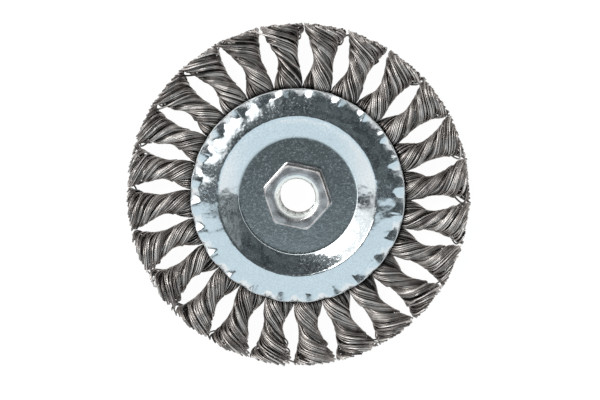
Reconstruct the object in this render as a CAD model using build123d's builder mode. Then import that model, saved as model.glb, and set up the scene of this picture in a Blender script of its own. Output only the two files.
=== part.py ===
from build123d import *
import math
import os

# Twist-knot wire wheel. Origin on the axis at the middle of the wheel, +Z out of the face that
# carries the hexagon. A knot stands on each radial line; the first one is turned from +X.

# Wheel
wheel_d = 115.0
knot_count = 24
first_knot_angle = 5.5

# Flanges: two equal stampings, dished away from each other
sheet = 1.0
flange_d = 71.6
floor_d = 39.6
ridge_d = 53.2
ridge_height = 6.3
rim_height = 4.5

# Crimps: the rim is pressed in between neighbouring knots
crimp_depth = 1.1
crimp_reach = 2.4
crimp_deepest_angle = 6.0
crimp_near_angle = 2.6
crimp_far_angle = 10.0
crimp_overrun = 1.4
crimp_headroom = 2.0
trim_margin = 5.0

# Ring that carries the knots, between the flange floors
ring_thickness = 2.6
ring_inset = 2.3
ring_web = 2.0

# Hexagon nut with a shank riveted over at the back
nut_across_flats = 20.0
nut_height = 7.0
nut_turn = 18.3
nut_corner_run, nut_corner_cut = 1.0, 0.55
thread_minor_d = 12.2
thread_mouth_d = 14.8
shank_d = 18.0
shank_gap = 0.05
rivet_lip_d = 21.0
rivet_lip_height = 1.2

# Knots: the loop of the bundle in its hole, then its two legs twisted on each other
bundle_high, bundle_wide = 2.2, 4.4
loop_gap = 0.05
loop_bend = 2.2
throat_gap = 0.2
throat_turn = 120.0
rim_turn = 160.0
rim_twist = 7.5
twist_gain = 1.0
twist_steps = 8
base_long, base_wide = 9.4, 5.6
waist_long, waist_wide = 7.2, 6.8
tip_long, tip_wide = 13.8, 13.2
waist_shift = 1.0
waist_at = 0.4
long_growth, wide_growth = 2.3, 1.6

# A knot's outline, as shares of its half length and half width: the strands' rounded shoulders, and the
# crease between them, which closes towards the tip
shoulder_share = 0.74
crease_share, closed_crease_share = 0.5, 0.95

# Derived places
rim_r = flange_d / 2
floor_z = ring_thickness / 2 + sheet
ridge_r = ridge_d / 2
flange_slope = (ridge_height - rim_height) / (rim_r - ridge_r)
ring_r = rim_r - ring_inset
knot_pitch = 360 / knot_count
tip_r = wheel_d / 2
throat_r = ring_r + throat_gap
leg_z = ring_thickness / 2 + loop_gap + bundle_high / 2
loop_r = ring_r - ring_web - loop_gap - bundle_high / 2
window_long, window_wide = bundle_high + 2 * loop_gap, bundle_wide + 2 * loop_gap


def flange_z(radius):
    """Height of a flange's outside between its ridge and its rim."""
    return ridge_height - (radius - ridge_r) * flange_slope


def crimp(drop):
    """Wedge between two knots: apex on the flange, deepest at the rim, moved down by drop."""
    apex_r = rim_r - crimp_reach
    apex = Vector(apex_r, apex_r * math.tan(math.radians(crimp_near_angle)), flange_z(apex_r))
    near, deepest, far = (
        Vector(rim_r, rim_r * math.tan(math.radians(angle)), flange_z(rim_r) - depth)
        for angle, depth in (
            (crimp_near_angle, 0),
            (crimp_deepest_angle, crimp_depth),
            (crimp_far_angle, 0),
        )
    )
    roof = Vector(rim_r, deepest.Y, flange_z(rim_r) + crimp_headroom)
    past_rim = [apex + (corner - apex) * crimp_overrun for corner in (near, deepest, far, roof)]
    with BuildPart() as wedge:
        with BuildSketch(Plane(origin=(past_rim[0].X, 0, -drop), x_dir=(0, 1, 0), z_dir=(1, 0, 0))) as mouth:
            with BuildLine():
                Polyline([(corner.Y, corner.Z) for corner in past_rim], close=True)
            make_face()
        loft([mouth.sketch.face(), Vertex(apex.X, apex.Y, apex.Z - drop)])
    return wedge.part


def knot_turn(radius):
    """Angle of a knot's two strands at a radius: the lay gets tighter from the rim to the tip."""
    past_rim = radius - rim_r
    return rim_turn - rim_twist * past_rim - twist_gain / 2 * past_rim**2


def knot_outline(radius, turn):
    """Corners of a knot's cross-section at a radius: two strands side by side, merging at the tip."""
    along = max(0, (radius - rim_r) / (tip_r - rim_r))
    inner = max(0, 1 - along / waist_at)
    outer = max(0, (along - waist_at) / (1 - waist_at))
    half_long = (
        waist_long + (base_long - waist_long) * inner + (tip_long - waist_long) * outer**long_growth
    ) / 2
    half_wide = (
        waist_wide + (base_wide - waist_wide) * inner + (tip_wide - waist_wide) * outer**wide_growth
    ) / 2
    if radius < rim_r:
        half_long, half_wide = leg_z + bundle_high / 2, bundle_wide / 2
    crease = crease_share + (closed_crease_share - crease_share) * outer
    half = [(1, 0), (shoulder_share, shoulder_share), (0, crease), (-shoulder_share, shoulder_share)]
    whole = half + [(-x, -y) for x, y in half]
    shift = 4 * waist_shift * along * (1 - along)
    station = Plane(origin=(radius, -shift, 0), x_dir=(0, 1, 0), z_dir=(1, 0, 0))
    return [
        station.from_local_coords(Vector(x * half_long, y * half_wide).rotate(Axis.Z, turn)) for x, y in whole
    ]


def twisted_body(outlines):
    """Solid between successive outlines, its sides flat triangles folded along the lay."""
    triangles = []
    for lower, upper in zip(outlines, outlines[1:]):
        for near in range(len(lower)):
            far = (near + 1) % len(lower)
            triangles.append((lower[near], lower[far], upper[far]))
            triangles.append((lower[near], upper[far], upper[near]))
    sides = [Face(Wire.make_polygon(corners)) for corners in triangles]
    ends = [Face(Wire.make_polygon(outlines[0])), Face(Wire.make_polygon(outlines[-1]))]
    return Solid(Shell(sides + ends))


# Pressing tool of one crimp, and the same one sheet lower for the bulge inside
pressed = crimp(0)
bulged = crimp(sheet)

# Front flange: one dished sheet, crimped at the rim
with BuildPart() as front_plate:
    with BuildSketch(Plane.XZ):
        with BuildLine():
            outside = Polyline(
                (shank_d / 2 + shank_gap, floor_z),
                (floor_d / 2, floor_z),
                (ridge_r, ridge_height),
                (rim_r + sheet, flange_z(rim_r + sheet)),
            )
            offset(outside, amount=sheet, side=Side.RIGHT, kind=Kind.INTERSECTION)
        make_face()
    revolve(axis=Axis.Z)
    with PolarLocations(0, knot_count, start_angle=first_knot_angle):
        add(bulged)
    with PolarLocations(0, knot_count, start_angle=first_knot_angle):
        add(pressed, mode=Mode.SUBTRACT)
    with BuildSketch(Plane.XY):
        Circle(rim_r + trim_margin)
        Circle(rim_r, mode=Mode.SUBTRACT)
    extrude(amount=ridge_height, mode=Mode.SUBTRACT)
front_plate.part.label = "front_plate"

# Back flange: the same stamping, turned over about a knot's own line
first_knot = Axis((0, 0, 0), Vector(1, 0, 0).rotate(Axis.Z, first_knot_angle))
with BuildPart() as back_plate:
    add(front_plate.part.rotate(first_knot, 180))
back_plate.part.label = "back_plate"

# Ring with a hole for each knot
with BuildPart() as knot_ring:
    with BuildSketch(Plane.XY.offset(-ring_thickness / 2)):
        Circle(ring_r)
        Circle(shank_d / 2 + shank_gap, mode=Mode.SUBTRACT)
        with PolarLocations(loop_r, knot_count, start_angle=first_knot_angle):
            Rectangle(window_long, window_wide, mode=Mode.SUBTRACT)
    extrude(amount=ring_thickness)
knot_ring.part.label = "knot_ring"

# Nut: hexagon on the front floor, shank through the stack, lip riveted over the back floor
nut_top = floor_z + nut_height
nut_corner_r = nut_across_flats / 2 / math.cos(math.pi / 6)
mouth_cut = (thread_mouth_d - thread_minor_d) / 2
with BuildPart() as arbor_nut:
    with BuildSketch(Plane.XY.offset(floor_z)):
        RegularPolygon(nut_across_flats / 2, 6, major_radius=False, rotation=nut_turn)
    extrude(amount=nut_height)
    with BuildSketch(Plane.XZ):
        with BuildLine():
            Polyline(
                (nut_corner_r - nut_corner_run, nut_top),
                (nut_corner_r, nut_top),
                (nut_corner_r, nut_top - nut_corner_cut),
                close=True,
            )
        make_face()
    revolve(axis=Axis.Z, mode=Mode.SUBTRACT)
    with BuildSketch(Plane.XY.offset(-floor_z)):
        Circle(shank_d / 2)
    extrude(amount=2 * floor_z)
    with BuildSketch(Plane.XY.offset(-floor_z)):
        Circle(rivet_lip_d / 2)
    extrude(amount=-rivet_lip_height)
    Hole(thread_minor_d / 2)
    chamfer(edges().filter_by(GeomType.CIRCLE).group_by(Axis.Z)[-1].sort_by(SortBy.RADIUS)[0], mouth_cut)
arbor_nut.part.label = "arbor_nut"

# One knot along +X: the loop round the ring's web, then the twisted length
full_turn = rim_turn - knot_turn(tip_r)
knot_stations = [(throat_r, throat_turn)]
for step in range(twist_steps + 1):
    part_turn = full_turn * step / twist_steps
    past_rim = (math.sqrt(rim_twist**2 + 2 * twist_gain * part_turn) - rim_twist) / twist_gain
    knot_stations.append((rim_r + past_rim, rim_turn - part_turn))
with BuildPart() as knot:
    with BuildSketch(Plane.XZ):
        with Locations((throat_r, 0)):
            Rectangle(
                throat_r - loop_r + bundle_high / 2,
                2 * leg_z + bundle_high,
                align=(Align.MAX, Align.CENTER),
            )
        chamfer(vertices().group_by(Axis.X)[0], loop_bend)
        with Locations((throat_r, 0)):
            Rectangle(
                throat_r - loop_r - bundle_high / 2,
                2 * leg_z - bundle_high,
                align=(Align.MAX, Align.CENTER),
                mode=Mode.SUBTRACT,
            )
    extrude(amount=bundle_wide / 2, both=True)
    add(twisted_body([knot_outline(radius, turn) for radius, turn in knot_stations]))

os.makedirs("parts", exist_ok=True)
export_step(front_plate.part, "parts/front_plate.step")
export_step(back_plate.part, "parts/back_plate.step")
export_step(knot_ring.part, "parts/knot_ring.step")
export_step(arbor_nut.part, "parts/arbor_nut.step")
for number in range(knot_count):
    name = f"knot_{number + 1:02d}"
    placed = knot.part.rotate(Axis.Z, first_knot_angle + number * knot_pitch)
    placed.label = name
    export_step(placed, f"parts/{name}.step")
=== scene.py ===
import math

import bpy
import numpy as np
from mathutils import Matrix, Vector


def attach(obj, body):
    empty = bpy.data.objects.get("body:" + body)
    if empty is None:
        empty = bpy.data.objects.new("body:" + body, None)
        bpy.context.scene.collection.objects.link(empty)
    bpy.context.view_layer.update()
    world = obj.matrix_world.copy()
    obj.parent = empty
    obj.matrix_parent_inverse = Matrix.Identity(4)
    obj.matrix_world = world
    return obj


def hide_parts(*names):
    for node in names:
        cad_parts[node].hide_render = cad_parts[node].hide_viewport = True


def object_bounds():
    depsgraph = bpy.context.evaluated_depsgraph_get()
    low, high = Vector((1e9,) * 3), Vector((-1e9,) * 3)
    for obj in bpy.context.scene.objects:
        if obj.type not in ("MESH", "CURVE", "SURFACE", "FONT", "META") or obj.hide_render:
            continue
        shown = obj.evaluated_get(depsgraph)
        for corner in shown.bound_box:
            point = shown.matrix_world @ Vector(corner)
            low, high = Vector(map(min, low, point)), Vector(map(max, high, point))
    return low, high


# Twist-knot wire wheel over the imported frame: two crimped zinc flanges, a threaded nut and 24 knots of
# separate wires. Shapes are worked out in mm and made in metres. Angles are in degrees, from +X towards
# +Y. Z is the wheel's axis, out of the face that carries the hexagon.

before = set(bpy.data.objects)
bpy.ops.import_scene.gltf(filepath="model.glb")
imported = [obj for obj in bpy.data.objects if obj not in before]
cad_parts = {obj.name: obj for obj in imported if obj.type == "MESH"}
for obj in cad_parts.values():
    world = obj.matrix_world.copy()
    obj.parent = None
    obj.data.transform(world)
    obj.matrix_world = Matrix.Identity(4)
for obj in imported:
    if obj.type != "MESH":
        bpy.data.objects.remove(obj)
cad_low, cad_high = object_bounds()

MM = 0.001

# Sizes that the part's source has too
KNOTS = 24
KNOT_PITCH = 360 / KNOTS
FIRST_KNOT = 5.5
SHEET = 1.0
RIM_R = 35.8
FLOOR_Z = 2.3
PLATE_BORE_R = 9.05
NUT_FLAT_R = 10.0
NUT_TURN = 18.3
NUT_TOP = 9.3
SHANK_R = 9.0
LIP_R = 10.5
LIP_LOW = -3.5
THREAD_R = 6.1
RIM_TURN, RIM_TWIST, TWIST_GAIN = 160.0, 7.5, 1.0
THROAT_R, LOOP_R, LEG_Z = 33.7, 30.35, 2.45
BUNDLE_HIGH, BUNDLE_WIDE = 2.2, 4.4

# Flanges: slope of the outside by radius, from the floor up the recess's side and over the ridge to the rim
SLOPE_R = (19.3, 20.1, 20.6, 21.5, 22.5, 24.0, 25.0, 26.1, 26.6, 26.9, 28.8, 31.0, 35.8)
SLOPE = (0.0, 20.0, 23.0, 25.5, 27.5, 30.0, 31.0, 31.5, 8.0, -4.0, -7.5, -10.5, -12.5)
PLATE_STEPS = 720
EDGE = 0.32
WAVE_COUNTS = (5, 9, 14, 23, 31)
WAVE_START, WAVE_RUN, WAVE_HEIGHT = 27, 8, 0.055

# Rings of a flange's mesh over its outside, as first radius, last radius and count, and back along its inside
OUTSIDE_RINGS = (
    (PLATE_BORE_R, 18.6, 4),
    (19.2, 20.6, 8),
    (21.2, 25.0, 7),
    (25.4, 27.6, 11),
    (28.4, 32.0, 6),
    (32.3, RIM_R - EDGE, 18),
)
INSIDE_RINGS = (RIM_R - EDGE, 34.6, 33.0, 30.0, 28.0, 26.9, 26.0, 23.0, 20.4, 19.4, 14.0, PLATE_BORE_R)

# Crimps, by angle from a knot's line: end of the land, start and end of the valley, start of the next land
CRIMP_ANGLES = (0.6, 7.0, 9.2, 14.4)
CRIMP_SPREAD = 0.25
CRIMP_DEPTH, CRIMP_REACH = 1.3, 3.4
LAND_LIFT = 0.70

# Nut
NUT_STEPS = 240
NUT_CORNER_R = 11.35
THREAD_PITCH, THREAD_DEPTH, THREAD_ROW = 2.0, 0.85, 0.125

# Knots: the longest wires end at TIP_R, and past FREE_R they come away from each other
TIP_R = 57.0
WIRES = 38
OUTER_WIRES = 23
WIRE_R = 0.29
WIRE_SIDES = 5
LAY_STEPS = 26
HALF_THICK = 6.6
RISE_PAST_RIM = 1.3
WAIST_R, WAIST_RUN, WAIST_SHIFT = 44, 6, 1.0
FREE_R, FREE_RUN = 45, 11
STRAY_SHARE = 0.17

# A knot's half width in plan, and the flatness of its section, by radius
PLAN_R = (36.6, 38, 40, 42, 44, 46, 48, 50, 52, 54, 55.6, 57.5)
PLAN = (4.70, 4.60, 4.22, 3.66, 3.18, 3.18, 3.70, 4.40, 5.15, 6.10, 6.80, 7.10)
FLAT_R = (35.8, 40, 44, 50, 57)
FLAT = (0.58, 0.80, 0.86, 0.90, 0.98)


class Nodes:
    """The nodes of one shader tree; each method makes and links one step."""

    def __init__(self, tree):
        self.tree = tree

    def make(self, kind, **settings):
        """A node, each setting put in an attribute or else in the socket of that name."""
        made = self.tree.nodes.new(kind)
        for key, value in settings.items():
            if hasattr(made, key):
                setattr(made, key, value)
            else:
                made.inputs[key].default_value = value
        return made

    def feed(self, socket, value):
        """Puts a node's output, a colour or a number into a socket."""
        if isinstance(value, bpy.types.NodeSocket):
            self.tree.links.new(value, socket)
        elif isinstance(value, tuple):
            socket.default_value = (*value, 1.0)
        else:
            socket.default_value = value

    def position(self):
        return self.make("ShaderNodeTexCoord").outputs["Object"]

    def split(self, vector):
        made = self.make("ShaderNodeSeparateXYZ")
        self.feed(made.inputs[0], vector)
        return made.outputs

    def math(self, operation, first, second=0.0):
        made = self.make("ShaderNodeMath", operation=operation)
        self.feed(made.inputs[0], first)
        self.feed(made.inputs[1], second)
        return made.outputs[0]

    def add(self, first, second):
        return self.math("ADD", first, second)

    def times(self, first, second):
        return self.math("MULTIPLY", first, second)

    def from_axis(self, vector):
        """Distance from the wheel's axis."""
        x, y, z = self.split(vector)
        return self.math("SQRT", self.add(self.times(x, x), self.times(y, y)))

    def change(self, value, low, high, before, after):
        """A smooth change from before to after, while value goes from low to high."""
        made = self.make("ShaderNodeMapRange", interpolation_type="SMOOTHSTEP")
        for number, setting in enumerate((low, high, before, after), start=1):
            made.inputs[number].default_value = setting
        self.feed(made.inputs["Value"], value)
        return made.outputs["Result"]

    def rise(self, value, low, high):
        return self.change(value, low, high, 0.0, 1.0)

    def fall(self, value, low, high):
        return self.change(value, low, high, 1.0, 0.0)

    def noise(self, coordinates, scale, detail=4.0, roughness=0.55):
        made = self.make("ShaderNodeTexNoise", Scale=scale, Detail=detail, Roughness=roughness)
        self.feed(made.inputs["Vector"], coordinates)
        return made.outputs["Fac"]

    def ramp(self, value, stops):
        """Colours over (position, colour) stops, eased from one to the next."""
        made = self.make("ShaderNodeValToRGB")
        made.color_ramp.interpolation = "EASE"
        while len(made.color_ramp.elements) < len(stops):
            made.color_ramp.elements.new(0.5)
        for element, (position, colour) in zip(made.color_ramp.elements, stops):
            element.position = position
            element.color = (*colour, 1.0)
        self.feed(made.inputs["Fac"], value)
        return made.outputs["Color"]

    def mix(self, share, first, second):
        """The first colour where share is 0, the second where it is 1."""
        made = self.make("ShaderNodeMix", data_type="RGBA")
        self.feed(made.inputs["Factor"], share)
        self.feed(made.inputs[6], first)
        self.feed(made.inputs[7], second)
        return made.outputs[2]

    def bump(self, height, strength, distance, under=None):
        """A surface normal with a height's relief, over another relief if one is given."""
        made = self.make("ShaderNodeBump", Distance=distance)
        self.feed(made.inputs["Strength"], strength)
        self.feed(made.inputs["Height"], height)
        if under is not None:
            self.feed(made.inputs["Normal"], under)
        return made.outputs["Normal"]


def material(name):
    made = bpy.data.materials.new(name)
    made.use_nodes = True
    return made, Nodes(made.node_tree), made.node_tree.nodes["Principled BSDF"]


def metal(name, metallic):
    """A metal's material, its nodes, its sockets and the place that its patterns follow."""
    made, nodes, shader = material(name)
    shader.inputs["Metallic"].default_value = metallic
    return made, nodes, shader.inputs, nodes.position()


def zinc_plate():
    """Bright zinc over pressed sheet: duller in the recess, pitted all over, lighter and rougher at the
    recess edge and the rim: a painted highlight line at both, at the rim partly wear.
    """
    made, nodes, sockets, place = metal("zinc_plated_sheet", 1.0)
    radius = nodes.from_axis(place)
    cloud = nodes.noise(place, 140.0, 5.0)
    grain = nodes.noise(place, 1500.0, 3.0, 0.7)
    dimple = nodes.noise(place, 230.0, 2.0, 0.45)
    outside = nodes.rise(radius, 19.2 * MM, 20.4 * MM)
    # Painted highlight: a thin light ring at the recess edge, and at the rim a light ring that is partly
    # wear, partly painted highlight
    painted_recess_highlight = nodes.times(
        nodes.rise(radius, 19.8 * MM, 19.9 * MM), nodes.fall(radius, 20.0 * MM, 20.1 * MM)
    )
    rim_wear_and_highlight = nodes.rise(radius, 35.46 * MM, 35.60 * MM)
    edge_highlights_and_wear = nodes.math("MAXIMUM", painted_recess_highlight, rim_wear_and_highlight)

    bright = nodes.ramp(cloud, [(0.3, (0.85, 0.89, 0.90)), (0.7, (0.91, 0.945, 0.96))])
    clean = nodes.mix(outside, (0.55, 0.585, 0.585), bright)
    flecks = nodes.mix(outside, (0.44, 0.465, 0.465), (0.78, 0.81, 0.82))
    speckled = nodes.mix(nodes.rise(grain, 0.36, 0.64), flecks, clean)
    # The lighter colour at the recess edge and the rim is a painted highlight line, at the rim partly wear
    nodes.feed(sockets["Base Color"], nodes.mix(edge_highlights_and_wear, speckled, (0.86, 0.90, 0.91)))

    plain = nodes.change(outside, 0.0, 1.0, 0.14, 0.10)
    pits = nodes.change(grain, 0.50, 0.72, 0.0, 0.18)
    handled = nodes.change(radius, 33.2 * MM, 35.0 * MM, 0.0, 0.12)
    edges = nodes.add(handled, nodes.times(edge_highlights_and_wear, 0.45))
    nodes.feed(sockets["Roughness"], nodes.add(nodes.add(plain, pits), edges))

    wavy = nodes.bump(dimple, nodes.change(outside, 0.0, 1.0, 0.04, 0.36), 0.5 * MM)
    fine = nodes.bump(grain, nodes.change(outside, 0.0, 1.0, 0.16, 0.06), 0.1 * MM, wavy)
    nodes.feed(sockets["Normal"], fine)
    return made


def zinc_nut():
    """Machined nut: satin grey with a warm cast, with a painted reflection that brightens the mouth of its
    thread.
    """
    made, nodes, sockets, place = metal("zinc_plated_nut", 1.0)
    cloud = nodes.noise(place, 220.0)
    grain = nodes.noise(place, 1600.0, 2.0)
    height = nodes.split(place)[2]
    inside = nodes.fall(nodes.from_axis(place), 7.35 * MM, 7.6 * MM)
    # Painted reflection: a near-white colour on the chamfer and the bore above 2 mm height
    mouth = nodes.times(inside, nodes.rise(height, 1.0 * MM, 2.0 * MM))
    satin = nodes.ramp(cloud, [(0.3, (0.46, 0.435, 0.43)), (0.7, (0.84, 0.815, 0.81))])
    nodes.feed(sockets["Base Color"], nodes.mix(mouth, satin, (0.93, 0.95, 0.92)))
    nodes.feed(sockets["Roughness"], nodes.change(cloud, 0.25, 0.75, 0.22, 0.32))
    nodes.feed(sockets["Normal"], nodes.bump(grain, 0.25, 0.08 * MM))
    return made


def steel_wire():
    """Drawn steel wire, dark with a brown cast; each wire has its own tone, darkened by painted shade inside
    the knot, under the rim and between the wires.
    """
    made, nodes, sockets, place = metal("drawn_steel_wire", 0.9)
    tone_and_painted_shade = nodes.make("ShaderNodeAttribute", attribute_name="tone_and_painted_shade").outputs["Fac"]
    stain = nodes.noise(place, 260.0, 3.0)
    level = nodes.times(tone_and_painted_shade, nodes.change(stain, 0.25, 0.75, 0.85, 1.45))
    # The near-black groove colour is where painted shade darkens the wires, inside the knot and between them
    groove, dark, light = (0.030, 0.026, 0.023), (0.276, 0.246, 0.228), (0.73, 0.68, 0.643)
    nodes.feed(sockets["Base Color"], nodes.ramp(level, [(0.03, groove), (0.38, dark), (0.85, light)]))
    nodes.feed(sockets["Roughness"], nodes.change(stain, 0.3, 0.7, 0.36, 0.50))
    return made


def ring_steel():
    """Plain punched steel, mill dark."""
    made, nodes, sockets, place = metal("mill_steel", 0.9)
    cloud = nodes.noise(place, 200.0)
    grain = nodes.noise(place, 1500.0, 2.0)
    mottled = nodes.ramp(cloud, [(0.3, (0.16, 0.155, 0.15)), (0.7, (0.27, 0.26, 0.25))])
    nodes.feed(sockets["Base Color"], mottled)
    nodes.feed(sockets["Roughness"], nodes.change(cloud, 0.3, 0.7, 0.35, 0.5))
    nodes.feed(sockets["Normal"], nodes.bump(grain, 0.2, 0.1 * MM))
    return made


def mesh_piece(name, points, faces, finish, stands_for, sharp_angle=None):
    """A mesh in mm made into a piece that replaces a CAD node."""
    mesh = bpy.data.meshes.new(name)
    mesh.from_pydata(np.asarray(points) * MM, [], faces)
    mesh.validate()
    mesh.polygons.foreach_set("use_smooth", np.ones(len(mesh.polygons), bool))
    if sharp_angle is not None:
        mesh.set_sharp_from_angle(angle=math.radians(sharp_angle))
    mesh.materials.append(finish)
    piece = bpy.data.objects.new(name, mesh)
    bpy.context.scene.collection.objects.link(piece)
    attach(piece, "root")
    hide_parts(stands_for)
    return piece


def closed_grid(rows, columns):
    """Quads over a grid that closes on itself both ways."""
    row = np.arange(rows)[:, None]
    column = np.arange(columns)[None, :]
    next_row, next_column = (row + 1) % rows, (column + 1) % columns
    corners = [
        row * columns + column,
        row * columns + next_column,
        next_row * columns + next_column,
        next_row * columns + column,
    ]
    return np.stack(np.broadcast_arrays(*corners), -1).reshape(-1, 4)


def around_axis(radius, angle, height):
    """Points from their distance to the axis, angle and height."""
    radians = np.radians(angle)
    return np.stack(np.broadcast_arrays(radius * np.cos(radians), radius * np.sin(radians), height), -1)


# Rise of a flange's outside, summed up from its slope
PROFILE_R = np.linspace(0, 40, 4001)
PROFILE_RISE = np.cumsum(np.tan(np.radians(np.interp(PROFILE_R, SLOPE_R, SLOPE)))) * PROFILE_R[1]


def plate_profile(radius):
    """Height of the front flange's outside before crimping."""
    return FLOOR_Z + np.interp(radius, PROFILE_R, PROFILE_RISE)


def crimp_drop(radius, angle, rng):
    """How far the rim is pressed down: a level land over each knot, a valley between two of them."""
    turned = np.mod(angle - FIRST_KNOT, KNOT_PITCH)
    number = np.mod(np.floor((angle - FIRST_KNOT) / KNOT_PITCH).astype(int), KNOTS)
    valley = (CRIMP_DEPTH * rng.uniform(0.75, 1.1, KNOTS))[number]
    lands = -LAND_LIFT * rng.uniform(0.92, 1.08, KNOTS + 1)
    before, after = lands[number], lands[np.mod(number + 1, KNOTS)]
    reach = (CRIMP_REACH * rng.uniform(0.85, 1.2, KNOTS))[number]
    near, low, high, far = (
        corner + rng.normal(0, CRIMP_SPREAD, KNOTS)[number] for corner in CRIMP_ANGLES
    )
    going_down = np.clip((turned - near) / (low - near), 0, 1) ** 1.7
    coming_up = np.clip((far - turned) / (far - high), 0, 1) ** 1.3
    at_rim = np.where(
        turned < (low + high) / 2,
        before + (valley - before) * going_down,
        after + (valley - after) * coming_up,
    )
    reach = reach * np.interp(turned, (0, 1, 6, 9, 13, 15), (1.0, 1.0, 0.8, 0.85, 1.1, 1.0))
    inward = np.clip((radius - (RIM_R - reach)) / reach, 0, 1.2)
    return at_rim * inward * np.where(at_rim > 0, 0.8 + 0.2 * inward, 1.0)


def rim_waves(radius, angle, rng):
    """Slight unevenness of the pressed sheet, towards its rim."""
    height = np.clip((radius - WAVE_START) / WAVE_RUN, 0, 1) * WAVE_HEIGHT / 1.6
    phases = rng.uniform(0, 6.3, len(WAVE_COUNTS))
    return height * sum(
        np.sin(count * np.radians(angle) + phase) for count, phase in zip(WAVE_COUNTS, phases)
    )


def flange(name, finish, stands_for, turn_over):
    """A dished sheet with rounded edges: out along its outside, round the rim, back along its inside."""
    rng = np.random.default_rng(11 if turn_over else 7)
    outside = np.concatenate([np.linspace(first, last, count) for first, last, count in OUTSIDE_RINGS])
    radius = np.concatenate([outside, [RIM_R, RIM_R], INSIDE_RINGS])
    below = np.concatenate([0 * outside, [EDGE, SHEET - EDGE], np.full(len(INSIDE_RINGS), SHEET)])
    lean = np.interp(radius, PROFILE_R, np.gradient(plate_profile(PROFILE_R), PROFILE_R))
    below_upright = below * np.sqrt(1 + lean**2)
    grid_r, grid_a = np.meshgrid(radius, np.arange(PLATE_STEPS) * 360 / PLATE_STEPS, indexing="ij")
    height = plate_profile(grid_r) - crimp_drop(grid_r, grid_a, rng) - below_upright[:, None]
    height += rim_waves(grid_r, grid_a, rng)
    points = around_axis(grid_r, grid_a, height).reshape(-1, 3)
    if turn_over:
        knot_line = Vector((math.cos(math.radians(FIRST_KNOT)), math.sin(math.radians(FIRST_KNOT)), 0))
        points = points @ np.array(Matrix.Rotation(math.pi, 3, knot_line)).T
    faces = closed_grid(len(radius), PLATE_STEPS).tolist()
    mesh_piece(name, points, faces, finish, stands_for, 40)


def nut_rows(angle):
    """Radius and height of the nut's rows: lip, shank, hexagon with its turned corners, mouth, thread."""
    from_flat = (angle - NUT_TURN + 30) % 60 - 30
    hexagon = np.minimum(NUT_FLAT_R / np.cos(np.radians(from_flat)), NUT_CORNER_R)
    corner_cut = np.maximum(hexagon - 10.5, 0) * 0.6
    rows = [
        (6.6, LIP_LOW),
        (10.1, LIP_LOW),
        (LIP_R, -3.1),
        (LIP_R, -2.5),
        (10.3, -FLOOR_Z),
        (SHANK_R, -FLOOR_Z),
        (SHANK_R, FLOOR_Z),
        (hexagon + 0.38, FLOOR_Z),
        (hexagon + 0.02, FLOOR_Z + 0.34),
        (hexagon, NUT_TOP - corner_cut - 0.50),
        (hexagon - 0.05, NUT_TOP - corner_cut - 0.42),
        (np.minimum(hexagon - 0.45, 10.45), NUT_TOP - 0.04),
        (np.minimum(hexagon - 0.52, 10.38), NUT_TOP),
        (8.6, NUT_TOP),
        (7.5, NUT_TOP),
        (7.36, NUT_TOP - 0.05),
        (6.66, NUT_TOP - 0.58),
    ]
    for level in np.arange(NUT_TOP - 0.70, LIP_LOW + 0.1, -THREAD_ROW):
        phase = (level / THREAD_PITCH - angle / 360) % 1.0
        groove = np.clip(2.6 * np.abs(phase - 0.5) - 0.25, 0, 1) * THREAD_DEPTH
        mouth = max(0.0, level - (NUT_TOP - 1.1))
        rows.append((THREAD_R + np.maximum(groove, mouth), level))
    return rows


def nut(finish):
    """The nut with the turns of its thread and its shank riveted over behind."""
    angle = np.arange(NUT_STEPS) * 360 / NUT_STEPS
    rows = nut_rows(angle)
    points = np.concatenate([around_axis(radius, angle, height) for radius, height in rows])
    faces = closed_grid(len(rows), NUT_STEPS).tolist()
    mesh_piece("nut_threaded", points, faces, finish, "arbor_nut", 28)


def section(radius, angle):
    """Of a knot's section: how far its two strands lie from its middle, and their half width and height."""
    flat = np.interp(radius, FLAT_R, FLAT)
    merge = np.clip((radius - 47) / 9, 0, 1)
    offset, wide = 0.47 - 0.12 * merge, 0.53 + 0.12 * merge
    reach = offset * np.abs(np.cos(angle)) + np.hypot(wide * np.cos(angle), flat * np.sin(angle))
    half = np.interp(radius, PLAN_R, PLAN) / reach
    return offset * half, wide * half, flat * half


def under_rim(off_line):
    """Height of the crimped sheet's underside at the rim, by the angle from a knot's line."""
    turned = np.mod(off_line, KNOT_PITCH)
    land, valley = -LAND_LIFT, CRIMP_DEPTH
    drop = np.interp(turned, (0, 2.3, 7.0, 9.2, 13.2, 15), (land, land, valley, valley, land, land))
    return plate_profile(RIM_R) - drop - SHEET


def turned_by(angle, along, across):
    """A point of a section turned with the lay, as sideways and up."""
    return along * np.cos(angle) - across * np.sin(angle), along * np.sin(angle) + across * np.cos(angle)


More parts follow.
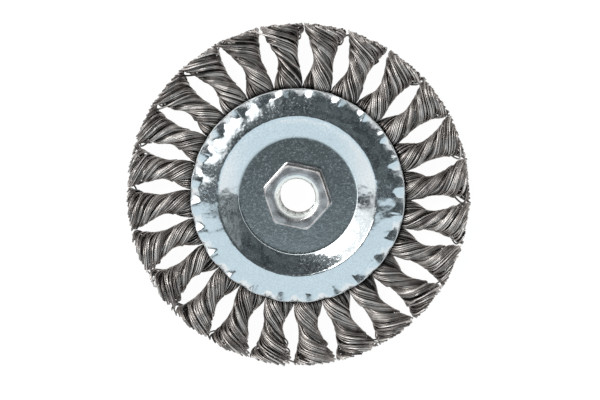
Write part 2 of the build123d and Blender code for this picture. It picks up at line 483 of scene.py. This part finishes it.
def strand(rng, side):
    """One strand's wires from the rim to the tip: points, nearness to the outside, directions outward."""
    inner_wires = WIRES - OUTER_WIRES
    around = np.concatenate([
        (np.arange(OUTER_WIRES) + rng.uniform(-0.22, 0.22, OUTER_WIRES)) / OUTER_WIRES,
        (np.arange(inner_wires) + rng.uniform(-0.3, 0.3, inner_wires)) / inner_wires,
    ]) * 2 * math.pi
    depth = np.concatenate([rng.uniform(0.93, 1.0, OUTER_WIRES), rng.uniform(0.3, 0.78, inner_wires)])
    order = rng.permutation(WIRES)
    around, depth = around[order, None], depth[order, None]

    # The lay gets tighter towards the tip, and no two wires end at quite the same place
    share = np.linspace(0, 1, LAY_STEPS + 1)
    full_turn = RIM_TWIST * (TIP_R - RIM_R) + TWIST_GAIN / 2 * (TIP_R - RIM_R) ** 2
    cut_short = np.abs(rng.normal(0, 0.022, (WIRES, 1))).clip(0, 0.08)
    turn = full_turn * share * (1 - cut_short)
    radius = RIM_R + (np.sqrt(RIM_TWIST**2 + 2 * TWIST_GAIN * turn) - RIM_TWIST) / TWIST_GAIN
    angle = np.radians(RIM_TURN - turn)

    # Towards the tip the wires draw together in clumps and a few stray
    free = np.clip((radius - FREE_R) / FREE_RUN, 0, 1)
    clumps = rng.integers(5, 8)
    around = around + free * 0.75 / clumps * np.sin(clumps * around + rng.uniform(0, 2 * math.pi))
    offset, wide, flat = section(radius, angle)
    from_strand, across = wide * depth * np.cos(around), flat * depth * np.sin(around)
    sideways, up = turned_by(angle, offset * side + from_strand, across)
    stray = rng.normal(0, 1.0, (2, WIRES, 1)) * np.where(rng.random((WIRES, 1)) < STRAY_SHARE, 1.5, 0.30)
    phase = rng.uniform(0, 2 * math.pi, (4, WIRES, 1))
    swing = 0.03 + 0.16 * free**2
    slow, quick = np.sin(share * 7 + phase[::2]), np.sin(share * 15 + phase[1::2])
    sideways += free**2 * stray[0] + swing * (slow[0] + 0.5 * quick[0])
    up += free**2 * stray[1] + swing * (slow[1] + 0.5 * quick[1])
    sideways -= WAIST_SHIFT * np.exp(-(((radius - WAIST_R) / WAIST_RUN) ** 2))

    # Between the flanges' rims and a little past them, the wires keep clear of the sheets
    off_line = np.degrees(np.arctan2(sideways, radius))
    room = RISE_PAST_RIM * np.maximum(radius - RIM_R, 0) - WIRE_R
    up = np.clip(up, -under_rim(-off_line) - room, under_rim(off_line) + room)
    up = np.clip(up, -HALF_THICK, HALF_THICK)

    outward = np.stack([0 * radius, *turned_by(angle, from_strand, across)], -1)
    outward /= np.maximum(np.linalg.norm(outward, axis=-1, keepdims=True), 1e-6)
    return np.stack([radius, sideways, up], -1), depth, outward


def ring_loop(rng):
    """The wires' way round the ring's web, from the front leg to the back one."""
    spot = rng.uniform(-0.5, 0.5, (WIRES, 2)) * (BUNDLE_HIGH - 2 * WIRE_R, BUNDLE_WIDE - 2 * WIRE_R)
    thick, wide = spot[:, 0], spot[:, 1]
    bend = 0.8
    front_leg = [
        (THROAT_R + 0 * thick, LEG_Z + thick),
        (LOOP_R + 1.0 - thick, LEG_Z + thick),
        (LOOP_R - thick, LEG_Z - bend + thick * 0.3),
    ]
    back_leg = [(x, -z) for x, z in front_leg[::-1]]
    middle = [(LOOP_R - thick, 0 * thick)]
    return np.stack([np.stack([x, wide, z], -1) for x, z in front_leg + middle + back_leg], 1)


def tubes(paths, thickness):
    """Round tubes with closed ends along paths of equal length: points, faces, directions off the paths."""
    count, length = paths.shape[:2]
    tangent = np.gradient(paths, axis=1)
    tangent /= np.linalg.norm(tangent, axis=2, keepdims=True)
    normal = np.cross(tangent[:, 0], (0.0, 0.3, 1.0))
    corner = np.arange(WIRE_SIDES)
    around = (corner * 2 * math.pi / WIRE_SIDES)[:, None]
    rings = []
    for step in range(length):
        normal = normal - (normal * tangent[:, step]).sum(1, keepdims=True) * tangent[:, step]
        normal /= np.linalg.norm(normal, axis=1, keepdims=True)
        other = np.cross(tangent[:, step], normal)
        rings.append(normal[:, None] * np.cos(around) + other[:, None] * np.sin(around))
    rings = np.stack(rings, 1)
    points = paths[:, :, None, :] + rings * thickness[:, None, None, None]

    start = (np.arange(count) * length * WIRE_SIDES)[:, None, None]
    ring = (np.arange(length - 1) * WIRE_SIDES)[None, :, None]
    low = start + ring + corner
    high = start + ring + (corner + 1) % WIRE_SIDES
    walls = np.stack([low, high, high + WIRE_SIDES, low + WIRE_SIDES], -1).reshape(-1, 4)
    first = start[:, 0] + corner[::-1]
    last = start[:, 0] + (length - 1) * WIRE_SIDES + corner
    return points.reshape(-1, 3), walls.tolist() + first.tolist() + last.tolist(), rings


def wire_tones_and_painted_shade(rng, radius, depth, facing):
    """Tone of each point, with painted shade: dark inside the knot, under the rim and in the grooves between
    wires, light at the cut ends.
    """
    # Painted shade: wires deeper inside the knot are darker, less so near the cut ends
    at_tip = np.clip((radius - 52.5) / 3.0, 0, 0.85)
    painted_depth_shading = np.maximum(np.clip((depth - 0.55) / 0.38, 0.05, 1), at_tip)
    own = rng.beta(2.2, 2.2, WIRES)[:, None] * painted_depth_shading
    # Painted shadow: the wires get darker where they come out from under the flanges' rim
    own = own * np.clip((radius - RIM_R + 0.2) / 1.6, 0.3, 1)
    # Painted shade in the grooves: each wire's side that faces into the knot is darker
    groove = np.clip(0.42 + 0.72 * facing, 0.06, 1.0)
    groove[:, [0, -1]] = 0.9
    return own[..., None] * groove


def knot(number, finish):
    """One knot: each wire runs from a tip down one strand, round the ring's web and up the other strand."""
    rng = np.random.default_rng(100 + number)
    (leg_a, depth_a, out_a), (leg_b, depth_b, out_b) = strand(rng, 1), strand(rng, -1)
    loop = ring_loop(rng)
    paths = np.concatenate([leg_a[:, ::-1], loop, leg_b], 1)
    outward = np.concatenate([out_a[:, ::-1], 0 * loop, out_b], 1)
    depth = np.concatenate([
        np.repeat(depth_a, LAY_STEPS + 1, 1),
        0 * loop[..., 0],
        np.repeat(depth_b, LAY_STEPS + 1, 1),
    ], 1)
    points, faces, rings = tubes(paths, WIRE_R * rng.uniform(0.90, 1.10, WIRES))
    tones_and_painted_shade = wire_tones_and_painted_shade(rng, paths[..., 0], depth, (rings * outward[:, :, None, :]).sum(-1))

    knot_line = math.radians(FIRST_KNOT + number * KNOT_PITCH)
    points = points @ np.array(Matrix.Rotation(knot_line, 3, "Z")).T
    name = f"knot_{number + 1:02d}"
    piece = mesh_piece(f"{name}_wires", points, faces, finish, name)
    tone_and_painted_shade = piece.data.attributes.new("tone_and_painted_shade", "FLOAT", "POINT")
    tone_and_painted_shade.data.foreach_set("value", tones_and_painted_shade.astype(np.float32).ravel())


def mirrored_room(nodes, direction):
    """What the zinc mirrors: a pale table, a dark room, a pale horizon, a softbox at the upper left."""
    x, y, z = nodes.split(direction)
    clutter = nodes.noise(direction, 14.0, 5.0, 0.65)
    room = nodes.ramp(clutter, [(0.40, (0.022, 0.026, 0.028)), (0.62, (0.135, 0.160, 0.172))])
    patch = nodes.times(nodes.rise(x, 0.55, 0.80), nodes.rise(clutter, 0.40, 0.58))
    patched = nodes.mix(patch, room, (0.40, 0.44, 0.46))
    far = nodes.mix(nodes.fall(z, 0.28, 0.54), patched, (0.95, 0.97, 1.0))
    sideways = nodes.change(nodes.times(x, x), 0.12, 0.85, 0.0, 0.75)
    table = nodes.mix(sideways, (0.662, 0.787, 0.860), (1.0, 1.0, 1.0))
    surround = nodes.mix(nodes.fall(y, -0.195, -0.095), far, table)
    edged = nodes.mix(nodes.fall(z, 0.22, 0.46), surround, (1.0, 1.0, 1.0))

    left = nodes.fall(nodes.add(x, nodes.times(y, -0.4)), -0.37, -0.27)
    ahead = nodes.rise(nodes.add(y, nodes.times(z, 0.12)), 0.06, 0.17)
    diagonal = nodes.add(nodes.add(y, nodes.times(x, 1.45)), nodes.times(z, -1.2))
    softbox = nodes.times(nodes.times(left, ahead), nodes.fall(diagonal, -0.98, -0.64))
    glare = nodes.mix(nodes.rise(z, 0.60, 0.88), (0.93, 0.97, 0.99), (1.25, 1.30, 1.33))
    return nodes.mix(softbox, edged, glare)


def surroundings():
    """The world: white to the camera, the studio's room to everything else."""
    world = bpy.data.worlds.new("studio")
    world.use_nodes = True
    bpy.context.scene.world = world
    nodes = Nodes(world.node_tree)
    nodes.tree.nodes.clear()
    room = mirrored_room(nodes, nodes.make("ShaderNodeTexCoord").outputs["Generated"])
    to_camera = nodes.make("ShaderNodeLightPath").outputs["Is Camera Ray"]
    background = nodes.make("ShaderNodeBackground")
    output = nodes.make("ShaderNodeOutputWorld")
    nodes.feed(background.inputs["Color"], nodes.mix(to_camera, room, (1.0, 1.0, 1.0)))
    nodes.feed(output.inputs["Surface"], background.outputs[0])


def key_lamp():
    """A broad, soft sun from the upper left of the photograph."""
    lamp = bpy.data.lights.new("key", "SUN")
    lamp.energy = 1.5
    lamp.angle = math.radians(30)
    key = bpy.data.objects.new("key", lamp)
    azimuth, elevation = math.radians(144), math.radians(50)
    level = math.cos(elevation)
    toward = Vector((math.cos(azimuth) * level, math.sin(azimuth) * level, math.sin(elevation)))
    key.rotation_euler = toward.to_track_quat("Z", "Y").to_euler()
    bpy.context.scene.collection.objects.link(key)


def table_finish():
    """White to the camera and in reflections, with the wheel's shadow; a pale cloth to everything else."""
    made, nodes, shader = material("table_white")
    nodes.tree.nodes.remove(shader)
    seen = nodes.make("ShaderNodeLightPath").outputs
    cloth = nodes.make("ShaderNodeBsdfDiffuse", Color=(0.8, 0.8, 0.8, 1))
    shaded = nodes.make("ShaderNodeBsdfDiffuse", Color=(0.12, 0.12, 0.12, 1))
    glow = nodes.make("ShaderNodeEmission", Color=(1, 1, 1, 1), Strength=0.955)
    white = nodes.make("ShaderNodeAddShader")
    nodes.feed(white.inputs[0], shaded.outputs[0])
    nodes.feed(white.inputs[1], glow.outputs[0])
    chosen = nodes.make("ShaderNodeMixShader")
    nodes.feed(chosen.inputs[0], nodes.math("MAXIMUM", seen["Is Camera Ray"], seen["Is Glossy Ray"]))
    nodes.feed(chosen.inputs[1], cloth.outputs[0])
    nodes.feed(chosen.inputs[2], white.outputs[0])
    nodes.feed(nodes.tree.nodes["Material Output"].inputs["Surface"], chosen.outputs[0])
    return made


def table():
    half, level = 1.5, cad_low.z - 0.25 * MM
    corners = [(-half, -half, level), (half, -half, level), (half, half, level), (-half, half, level)]
    mesh = bpy.data.meshes.new("table")
    mesh.from_pydata(corners, [], [(0, 1, 2, 3)])
    mesh.materials.append(table_finish())
    top = bpy.data.objects.new("table", mesh)
    bpy.context.scene.collection.objects.link(top)


def camera():
    """The photograph's view: nearly straight down, the wheel's +Y up."""
    distance = 0.8
    data = bpy.data.cameras.new("photo")
    data.sensor_width = 36.0
    data.lens = 143.3
    data.clip_start, data.clip_end = 0.05, 10.0
    made = bpy.data.objects.new("photo", data)
    back = Vector((0.0572, 0.1076, 0.9925)).normalized()
    right = Vector((0, 1, 0)).cross(back).normalized()
    turned = Matrix((right, back.cross(right), back)).transposed().to_4x4()
    aim = Vector((0.6, -1.78, 0)) * MM
    made.matrix_world = Matrix.Translation(aim + back * distance) @ turned
    bpy.context.scene.collection.objects.link(made)
    bpy.context.scene.camera = made


bpy.context.scene.view_settings.view_transform = "Standard"
camera()
surroundings()
key_lamp()
table()

sheet_finish = zinc_plate()
flange("flange_front", sheet_finish, "front_plate", False)
flange("flange_back", sheet_finish, "back_plate", True)
nut(zinc_nut())
wire_finish = steel_wire()
for knot_number in range(KNOTS):
    knot(knot_number, wire_finish)
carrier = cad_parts["knot_ring"]
carrier.data.materials.clear()
carrier.data.materials.append(ring_steel())
